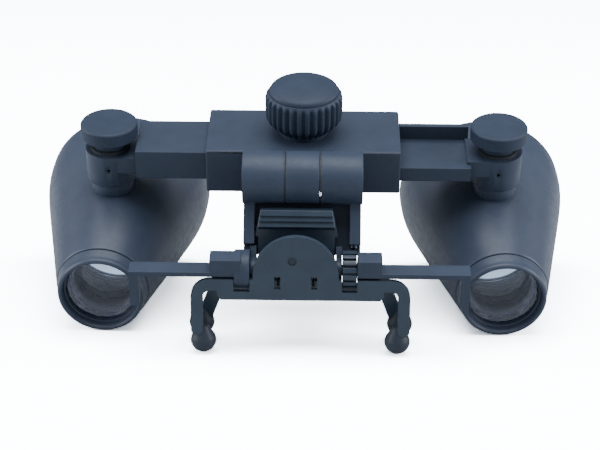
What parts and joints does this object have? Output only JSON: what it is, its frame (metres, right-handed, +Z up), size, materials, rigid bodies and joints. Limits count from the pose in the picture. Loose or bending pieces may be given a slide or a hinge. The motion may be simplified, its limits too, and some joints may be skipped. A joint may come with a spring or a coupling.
{
  "type": "dental loupes",
  "caption": "Clip-on flip-up binocular loupes: conical telescopes on a sliding bridge with a geared centre knob, and a sprung clip with rubber-tipped legs for spectacles.",
  "frame": {"origin": "centre of the bounding box's base, on the surface that the barrels rest on", "axes": "+X to the wearer's right along the bridge, +Y forwards towards the objectives, +Z up from the surface the loupes lie on; the bridge is tilted back 13.8 degrees about X because each barrel rests on its narrow rear rim and its wide front rim"},
  "size_m": [0.0924, 0.0456, 0.0417],
  "materials": {
    "anodised_black": "satin blue-black anodised aluminium",
    "barrel_black": "satin blue-black anodised aluminium, finely turned",
    "knob_black": "satin black, knurled",
    "clip_steel_black": "semi-gloss black coated spring steel",
    "matt_baffle": "matt black light-trapping ribs",
    "steel": "bright turned steel",
    "spring_steel": "dark drawn spring wire",
    "washer_polymer": "dull dark friction washer",
    "black_steel": "blackened steel",
    "lens_glass": "coated optical glass",
    "rubber_black": "soft dark dipped rubber"
  },
  "bodies": {
    "housing": {"bridge_housing": "anodised_black", "pinion_bush": "knob_black"},
    "pd_drive": {"pd_knob": "knob_black", "pinion_shaft": "steel", "pinion_circlip": "steel"},
    "left_arm": {"left_arm": "anodised_black", "left_set_screw": "black_steel", "left_lock_washer": "washer_polymer"},
    "right_arm": {"right_arm": "anodised_black", "right_set_screw": "black_steel", "right_lock_washer": "washer_polymer"},
    "left_lock": {"left_lock_knob": "knob_black", "left_lock_screw": "steel"},
    "right_lock": {"right_lock_knob": "knob_black", "right_lock_screw": "steel"},
    "left_barrel": {"left_barrel_shell": "barrel_black", "left_eyepiece_ring": "barrel_black", "left_eyepiece_lens": "lens_glass", "left_ribbed_baffle": "matt_baffle", "left_objective_lens": "lens_glass", "left_objective_ring": "barrel_black", "left_swivel_washer": "washer_polymer"},
    "right_barrel": {"right_barrel_shell": "barrel_black", "right_eyepiece_ring": "barrel_black", "right_eyepiece_lens": "lens_glass", "right_ribbed_baffle": "matt_baffle", "right_objective_lens": "lens_glass", "right_objective_ring": "barrel_black", "right_swivel_washer": "washer_polymer"},
    "link": {"flip_link": "anodised_black", "hinge_pin": "black_steel", "hinge_washers": "washer_polymer", "detent_plunger": "black_steel", "clip_pin": "black_steel", "left_brow_bar": "anodised_black", "right_brow_bar": "anodised_black"},
    "clip": {"near_jaw": "clip_steel_black", "detent_wheel": "clip_steel_black", "jaw_spring": "spring_steel", "near_left_tip": "rubber_black", "near_right_tip": "rubber_black"},
    "far_jaw": {"far_jaw": "clip_steel_black", "far_left_tip": "rubber_black", "far_right_tip": "rubber_black"}
  },
  "joints": [
    {"name": "left_arm_slide", "type": "slide", "parent": "housing", "child": "left_arm", "axis": [-1, 0, 0], "range_m": [-0.0055, 0.0035]},
    {"name": "right_arm_slide", "type": "slide", "parent": "housing", "child": "right_arm", "axis": [1, 0, 0], "range_m": [-0.0055, 0.0035]},
    {"name": "pd_knob_turn", "type": "hinge", "parent": "housing", "child": "pd_drive", "pos_m": [0, -0.00177, 0.02856], "axis": [0, -0.2381, 0.9712], "range_deg": [-75, 115]},
    {"name": "left_lock_turn", "type": "hinge", "parent": "left_arm", "child": "left_lock", "pos_m": [-0.0325, -0.00177, 0.02856], "axis": [0, -0.2381, 0.9712], "range_deg": [-90, 180]},
    {"name": "right_lock_turn", "type": "hinge", "parent": "right_arm", "child": "right_lock", "pos_m": [0.0325, -0.00177, 0.02856], "axis": [0, -0.2381, 0.9712], "range_deg": [-90, 180]},
    {"name": "left_barrel_swivel", "type": "hinge", "parent": "left_arm", "child": "left_barrel", "pos_m": [-0.0325, -0.00177, 0.02856], "axis": [0, -0.2381, 0.9712], "range_deg": [-8, 8]},
    {"name": "right_barrel_swivel", "type": "hinge", "parent": "right_arm", "child": "right_barrel", "pos_m": [0.0325, -0.00177, 0.02856], "axis": [0, -0.2381, 0.9712], "range_deg": [-8, 8]},
    {"name": "flip_hinge", "type": "hinge", "parent": "housing", "child": "link", "pos_m": [0, -0.01327, 0.02759], "axis": [-1, 0, 0], "range_deg": [-4, 95]},
    {"name": "clip_tilt", "type": "hinge", "parent": "link", "child": "clip", "pos_m": [-0.0009, -0.01928, 0.0139], "axis": [1, 0, 0], "range_deg": [0, 25]},
    {"name": "jaw_open", "type": "hinge", "parent": "clip", "child": "far_jaw", "pos_m": [-0.0009, -0.01928, 0.0139], "axis": [1, 0, 0], "range_deg": [0, 15], "stiffness_Nm_per_rad": 0.05, "springref_deg": -22.92, "deforming": ["jaw_spring"]}
  ],
  "couplings": [
    {"joint": "right_arm_slide", "follows": "left_arm_slide", "ratio": 1},
    {"joint": "pd_knob_turn", "follows": "left_arm_slide", "rad_per_m": -357.14}
  ]
}
